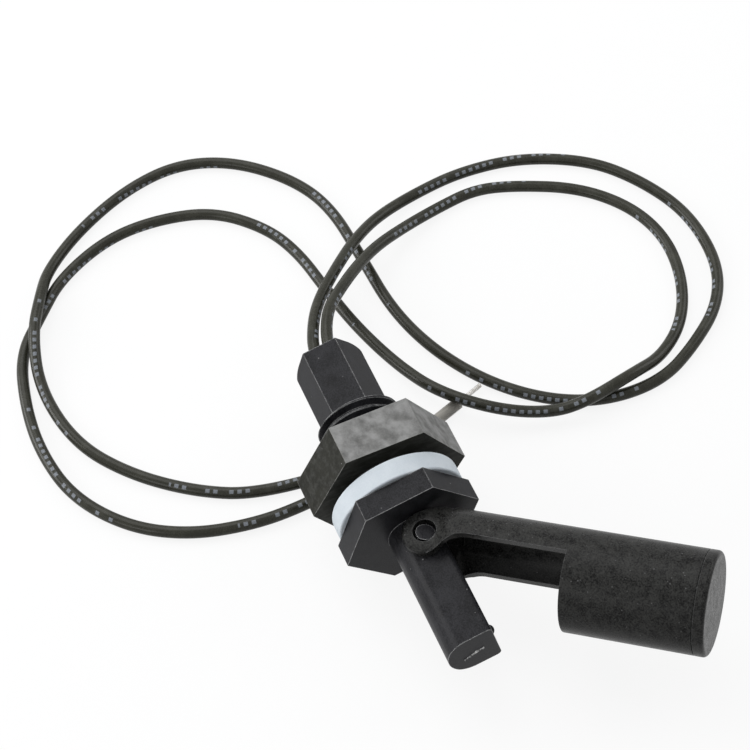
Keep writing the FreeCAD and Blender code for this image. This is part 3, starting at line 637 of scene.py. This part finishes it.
def strand_tree():
    """Twisted strands round a straight core, along X from the origin."""
    tree, entry, leave = new_group(
        "twisted strands", "GeometryNodeTree",
        [("Length", FLOAT, 0.006), ("Diameter", FLOAT, 0.0009), ("Strands round", "NodeSocketInt", 6),
         ("Lay length", FLOAT, 0.007), ("Material", "NodeSocketMaterial", None)],
        [("Geometry", "NodeSocketGeometry")])
    strand = maths(tree, "DIVIDE", entry["Diameter"], 6.0)
    middle = maths(tree, "MULTIPLY", strand, 2.0)
    turns = maths(tree, "DIVIDE", entry["Length"], entry["Lay length"])
    helix = add(tree, "GeometryNodeCurveSpiral", {
        "Resolution": 40, "Rotations": turns, "Start Radius": middle, "End Radius": middle,
        "Height": entry["Length"]})
    wire = add(tree, "GeometryNodeCurvePrimitiveCircle", {"Resolution": 10, "Radius": strand})
    one = add(tree, "GeometryNodeCurveToMesh", {
        "Curve": helix.outputs[0], "Profile Curve": wire.outputs[0], "Fill Caps": True})
    core_line = add(tree, "GeometryNodeCurvePrimitiveLine", {
        "End": add(tree, "ShaderNodeCombineXYZ", {"Z": entry["Length"]}).outputs[0]})
    core = add(tree, "GeometryNodeCurveToMesh", {
        "Curve": core_line.outputs[0], "Profile Curve": wire.outputs[0], "Fill Caps": True})
    points = add(tree, "GeometryNodePoints", {"Count": entry["Strands round"]})
    index = tree.nodes.new("GeometryNodeInputIndex").outputs[0]
    angle = maths(tree, "MULTIPLY", maths(tree, "DIVIDE", index, entry["Strands round"]), 2 * math.pi)
    placed = add(tree, "GeometryNodeInstanceOnPoints", {
        "Points": points.outputs[0], "Instance": one.outputs[0],
        "Rotation": add(tree, "ShaderNodeCombineXYZ", {"Z": angle}).outputs[0]})
    joined = tree.nodes.new("GeometryNodeJoinGeometry")
    tree.links.new(placed.outputs[0], joined.inputs[0])
    tree.links.new(core.outputs[0], joined.inputs[0])
    laid = add(tree, "GeometryNodeTransform", {
        "Geometry": joined.outputs[0], "Rotation": (0, math.pi / 2, 0)})
    smooth = add(tree, "GeometryNodeSetShadeSmooth", {"Geometry": laid.outputs[0]})
    realised = add(tree, "GeometryNodeRealizeInstances", {"Geometry": smooth.outputs[0]})
    dressed = add(tree, "GeometryNodeSetMaterial", {
        "Geometry": realised.outputs[0], "Material": entry["Material"]})
    tree.links.new(dressed.outputs[0], leave["Geometry"])
    return tree


def stripped_end(name, tree, route, length, material, node):
    """The bare strands beyond a wire's insulation."""
    holder = new_object(name, bpy.data.meshes.new(name))
    twist = holder.modifiers.new("strands", "NODES")
    twist.node_group = tree
    set_inputs(twist, {"Length": length, "Diameter": CONDUCTOR_DIAMETER, "Strands round": STRANDS_ROUND,
                       "Lay length": STRAND_LAY, "Material": material})
    strands = plain_mesh(holder, name)
    along = (route[-1] - route[-2]).normalized()
    across = Vector((0, 0, 1)).cross(along).normalized()
    turn = Matrix((along, across, along.cross(across))).transposed().to_4x4()
    turn.translation = route[-1]
    strands.data.transform(turn)
    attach(strands, "housing")
    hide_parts(node)
    return strands


def smooth_line(points):
    """Points along the NURBS curve that has the route's points as its control points."""
    curve = bpy.data.curves.new("route", "CURVE")
    curve.dimensions = "3D"
    curve.resolution_u = STEPS_PER_RUN
    spline = curve.splines.new("NURBS")
    spline.points.add(len(points) - 1)
    for slot, point in zip(spline.points, points):
        slot.co = (*point, 1)
    spline.order_u = 3
    spline.use_endpoint_u = True
    holder = new_object("route", curve)
    line = bpy.data.meshes.new_from_object(holder)
    places = [vertex.co.copy() for vertex in line.vertices]
    bpy.data.objects.remove(holder)
    bpy.data.meshes.remove(line)
    bpy.data.curves.remove(curve)
    return places


def wire_mesh(name, line, radius):
    """A round tube along a line. Its UV map holds metres along it and turns round it from the top."""
    shell = bmesh.new()
    uv = shell.loops.layers.uv.new("UVMap")
    heading = (line[1] - line[0]).normalized()
    side = Vector((0, 0, 1))
    side = (side - side.dot(heading) * heading).normalized()
    travelled = 0
    rings = []
    stations = []
    for index, place in enumerate(line):
        if index > 0:
            travelled += (place - line[index - 1]).length
        before = line[max(index - 1, 0)]
        after = line[min(index + 1, len(line) - 1)]
        new_heading = (after - before).normalized()
        side = heading.rotation_difference(new_heading) @ side
        heading = new_heading
        up = heading.cross(side)
        ring = []
        for step in range(WIRE_SIDES):
            angle = 2 * math.pi * step / WIRE_SIDES
            ring.append(shell.verts.new(place + radius * (math.cos(angle) * side + math.sin(angle) * up)))
        rings.append(ring)
        stations.append(travelled)
    for index in range(len(rings) - 1):
        for step in range(WIRE_SIDES):
            following = (step + 1) % WIRE_SIDES
            face = shell.faces.new([rings[index][step], rings[index][following],
                                    rings[index + 1][following], rings[index + 1][step]])
            face.smooth = True
            corners = [(index, step), (index, step + 1), (index + 1, step + 1), (index + 1, step)]
            for loop, (station, turn) in zip(face.loops, corners):
                loop[uv].uv = (stations[station], turn / WIRE_SIDES)
    shell.faces.new(reversed(rings[0]))
    shell.faces.new(rings[-1])
    bmesh.ops.recalc_face_normals(shell, faces=shell.faces)
    mesh = bpy.data.meshes.new(name)
    shell.to_mesh(mesh)
    shell.free()
    return mesh, travelled


def lead_wire(name, side, route, material):
    """A free wire from the tail to its stripped end."""
    leave = Vector((TAIL_START, 0, 0)) + U_AXIS * (side * WIRE_SPACING / 2)
    points = [leave, leave - X_AXIS * WIRE_EXIT_RUN] + route
    line = smooth_line(points)
    mesh, length = wire_mesh(name, line, WIRE_DIAMETER / 2)
    mesh.materials.append(material)
    wire = new_object(name, mesh)
    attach(wire, "housing")
    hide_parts(name.replace("wire_skin", "lead_wire"))
    return wire


def gate_mark(material):
    """The torn gate left by the mould on the stem's end."""
    chance = random.Random(4)
    shape = bmesh.new()
    top = []
    bottom = []
    crest = []
    for step in range(GATE_STEPS):
        share = step / (GATE_STEPS - 1)
        u = (GATE_START[0] + GATE_RUN[0] * share) * MM
        p = (GATE_START[1] + GATE_RUN[1] * share) * MM
        swell = math.sin(math.pi * share ** 1.3)
        half = max(GATE_HALF_WIDTH[0] + GATE_HALF_WIDTH[1] * swell, GATE_LEAST_HALF_WIDTH) * MM
        high = half * (1 + chance.uniform(-0.55, 0.45))
        low = half * (1 + chance.uniform(-0.5, 0.4))
        rise = chance.uniform(*GATE_RISE) * MM
        centre = Vector((STEM_END, 0, 0)) + U_AXIS * u + P_AXIS * p
        root = centre - X_AXIS * GATE_ROOT_DEPTH * MM
        top.append(shape.verts.new(root + P_AXIS * high))
        bottom.append(shape.verts.new(root - P_AXIS * low))
        sway = chance.uniform(-GATE_CREST_SWAY, GATE_CREST_SWAY) * MM
        crest.append(shape.verts.new(centre + X_AXIS * rise + P_AXIS * sway))
    for step in range(GATE_STEPS - 1):
        shape.faces.new([top[step], crest[step], crest[step + 1], top[step + 1]])
        shape.faces.new([crest[step], bottom[step], bottom[step + 1], crest[step + 1]])
        shape.faces.new([bottom[step], top[step], top[step + 1], bottom[step + 1]])
    shape.faces.new([top[0], bottom[0], crest[0]])
    shape.faces.new([top[-1], crest[-1], bottom[-1]])
    bmesh.ops.recalc_face_normals(shape, faces=shape.faces)
    mesh = bpy.data.meshes.new("gate_mark")
    shape.to_mesh(mesh)
    shape.free()
    mesh.materials.append(material)
    mark = new_object("gate_mark", mesh)
    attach(mark, "housing")
    return mark


# ---------------------------------------------------------------- surroundings

def camera():
    data = bpy.data.cameras.new("camera")
    data.angle = CAMERA_ANGLE
    data.clip_start = 0.01
    holder = bpy.data.objects.new("camera", data)
    bpy.context.collection.objects.link(holder)
    back = Vector((math.cos(CAMERA_ELEVATION) * math.cos(CAMERA_AZIMUTH),
                   math.cos(CAMERA_ELEVATION) * math.sin(CAMERA_AZIMUTH),
                   math.sin(CAMERA_ELEVATION)))
    level = Vector((0, 0, 1)).cross(back).normalized()
    rise = back.cross(level)
    right = math.cos(CAMERA_ROLL) * level + math.sin(CAMERA_ROLL) * rise
    up = -math.sin(CAMERA_ROLL) * level + math.cos(CAMERA_ROLL) * rise
    turn = Matrix((right, up, back)).transposed().to_4x4()
    turn.translation = CAMERA_TARGET + back * CAMERA_DISTANCE
    holder.matrix_world = turn
    bpy.context.scene.camera = holder


def softbox(name, direction, distance, side, radiance):
    """A square soft lamp that faces the switch."""
    lamp = bpy.data.lights.new(name, "AREA")
    lamp.shape = "SQUARE"
    lamp.size = side
    lamp.energy = radiance * math.pi * side * side
    holder = bpy.data.objects.new(name, lamp)
    towards = Vector(direction).normalized()
    turn = towards.to_track_quat("Z", "Y").to_matrix().to_4x4()
    turn.translation = towards * distance
    holder.matrix_world = turn
    bpy.context.collection.objects.link(holder)


def background_rays(tree):
    """1 for the rays that show the background: straight to the camera, or by way of metal or glass."""
    path = tree.nodes.new("ShaderNodeLightPath").outputs
    mirrored = maths(tree, "MAXIMUM", path["Is Camera Ray"], path["Is Glossy Ray"])
    return maths(tree, "MAXIMUM", mirrored, path["Is Transmission Ray"])


def floor_material():
    material = bpy.data.materials.new("studio floor")
    material.use_nodes = True
    tree = material.node_tree
    shader = tree.nodes["Principled BSDF"]
    place = tree.nodes.new("ShaderNodeTexCoord").outputs["Object"]
    tone = use(tree, MOTTLE, place, Cloud_size=60.0, Grain_size=3.0)["Tone"]
    pale = blend(tree, tone, (0.86, 0.86, 0.86), (0.88, 0.88, 0.88))
    shader.inputs["Roughness"].default_value = 0.95
    shader.inputs["Specular IOR Level"].default_value = 0.0
    glow = add(tree, "ShaderNodeEmission", {"Color": (1, 1, 1, 1), "Strength": 1.0})
    tree.links.new(pale, shader.inputs["Base Color"])
    seen = maths(tree, "MULTIPLY", background_rays(tree), FLOOR_GLOW)
    mix = add(tree, "ShaderNodeMixShader", {0: seen, 1: shader.outputs[0], 2: glow.outputs[0]})
    tree.links.new(mix.outputs[0], tree.nodes["Material Output"].inputs["Surface"])
    return material


def surroundings():
    mesh = bpy.data.meshes.new("floor")
    half = FLOOR_HALF
    corners = [(-half, -half, FLOOR), (half, -half, FLOOR), (half, half, FLOOR), (-half, half, FLOOR)]
    mesh.from_pydata(corners, [], [(0, 1, 2, 3)])
    floor = new_object("floor", mesh)
    floor.data.materials.append(floor_material())
    world = bpy.data.worlds.new("studio")
    bpy.context.scene.world = world
    world.use_nodes = True
    tree = world.node_tree
    direction = tree.nodes.new("ShaderNodeTexCoord").outputs["Generated"]
    facing = vector_maths(tree, "DOT_PRODUCT", direction, SKY_DIRECTION)
    strength = spread(tree, facing, *SKY_SPREAD, WORLD_LOW, WORLD_HIGH)
    sky = tree.nodes["Background"]
    tree.links.new(strength, sky.inputs["Strength"])
    sky.inputs["Color"].default_value = (0.97, 0.98, 1.0, 1)
    backdrop = add(tree, "ShaderNodeBackground", {"Color": (1, 1, 1, 1), "Strength": 1.0})
    seen = background_rays(tree)
    mix = add(tree, "ShaderNodeMixShader", {0: seen, 1: sky.outputs[0], 2: backdrop.outputs[0]})
    tree.links.new(mix.outputs[0], tree.nodes["World Output"].inputs["Surface"])
    for lamp in LAMPS:
        softbox(*lamp)


# Edge values below paint pale edges as wear and painted highlight; corner values paint glints.
housing = moulded("housing plastic", (0.006, 0.006, 0.007), (0.028, 0.028, 0.031), (0.32, 0.48),
                  clouds=3.0, grain=0.25, grain_share=0.6, grain_depth=0.016, edge_wear_and_highlight=0.9,
                  edge_wear_and_highlight_colour=(0.24, 0.24, 0.24), corner=1.0,
                  edge_width=0.30, specks=0.22, speck_size=0.14)
# The nut's settled dust faces up and towards +Y, so its pale colour also paints light on the top and right
# facets.
nut = moulded("nut plastic", (0.014, 0.014, 0.011), (0.026, 0.026, 0.021), (0.50, 0.62),
              clouds=3.0, grain=0.3, grain_depth=0.02, edge_wear_and_highlight=0.8, edge_wear_and_highlight_colour=(0.26, 0.26, 0.24), corner=0.5,
              specks=0.1, smears=0.3, smear_colour=(0.10, 0.10, 0.095), stretch=(1.2, 3.0, 1.0),
              smear_width=1.0, smear_start=0.40, smear_full=0.75,
              dust=0.95, dust_and_light_colour=(0.30, 0.30, 0.295), dust_and_light_facing=(0, 0.50, 0.866), dust_and_light_start=0.45,
              dust_and_light_full=0.90, dust_and_light_clouds=2.6)
float_skin = moulded("float plastic", (0.004, 0.004, 0.004), (0.036, 0.036, 0.034), (0.24, 0.42),
                     clouds=1.6, grain=0.28, grain_share=0.65, grain_depth=0.022, edge_wear_and_highlight=0.4, specks=0.6,
                     speck_size=0.13, speck_spacing=0.9, speck_colour=(0.10, 0.10, 0.10))
gasket = moulded("gasket rubber", (0.52, 0.57, 0.61), (0.59, 0.635, 0.67), (0.55, 0.65),
                 clouds=4.0, grain=0.2, grain_depth=0.006, specks=0.0)
gate = moulded("torn plastic", (0.06, 0.06, 0.06), (0.75, 0.75, 0.74), (0.4, 0.6),
               clouds=0.6, grain=0.15, grain_depth=0.03, specks=0.0)
ferrite = moulded("sintered ferrite", (0.03, 0.03, 0.032), (0.07, 0.07, 0.075), (0.5, 0.7),
                  clouds=1.0, grain=0.12, grain_depth=0.01, edge_wear_and_highlight=0.3)
sleeve = moulded("shrunk sleeve", (0.012, 0.012, 0.012), (0.03, 0.03, 0.03), (0.3, 0.45),
                 clouds=1.5, grain=0.2, specks=0.0)
resin = moulded("potting resin", (0.006, 0.006, 0.006), (0.014, 0.014, 0.014), (0.12, 0.3),
                clouds=2.5, grain=0.5, grain_depth=0.03, specks=0.1)
reed_metal = metal("reed metal", (0.50, 0.48, 0.44), (0.72, 0.70, 0.66), (0.2, 0.4), stretch=(6, 1, 1))
solder = metal("solder", (0.42, 0.42, 0.42), (0.66, 0.66, 0.66), (0.2, 0.45))
tinned = metal("tinned copper", (0.40, 0.38, 0.35), (0.66, 0.65, 0.63), (0.3, 0.5))
glass = clear_glass("reed glass")

node_materials = {
    "mounting_nut": nut, "sealing_gasket": gasket, "float_cap": float_skin,
    "float_magnet": ferrite, "reed_glass": glass, "reed_lead_front": reed_metal,
    "reed_lead_rear": reed_metal, "solder_joint_a": solder, "solder_joint_b": solder,
    "insulating_sleeve_a": sleeve, "insulating_sleeve_b": sleeve, "inner_wire_a": sleeve,
    "inner_wire_b": sleeve, "potting_plug": resin,
}
for name, material in node_materials.items():
    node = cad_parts[name]
    node.data.materials.clear()
    node.data.materials.append(material)

threaded_body(housing)
smooth_arm(float_skin)
gate_mark(gate)
strands = strand_tree()
end_a = stripped_end("strands_a", strands, ROUTE_A, END_A_LENGTH, tinned, "wire_end_a")
end_b = stripped_end("strands_b", strands, ROUTE_B, END_B_LENGTH, tinned, "wire_end_b")
lead_wire("wire_skin_a", -1, ROUTE_A, printed_insulation("printed insulation a", 0.0, 0.0, PAINTED_GLARE_A))
lead_wire("wire_skin_b", 1, ROUTE_B, printed_insulation("printed insulation b", 0.0, 17.0, PAINTED_GLARE_B))
camera()
surroundings()
bpy.context.scene.view_settings.view_transform = "Standard"
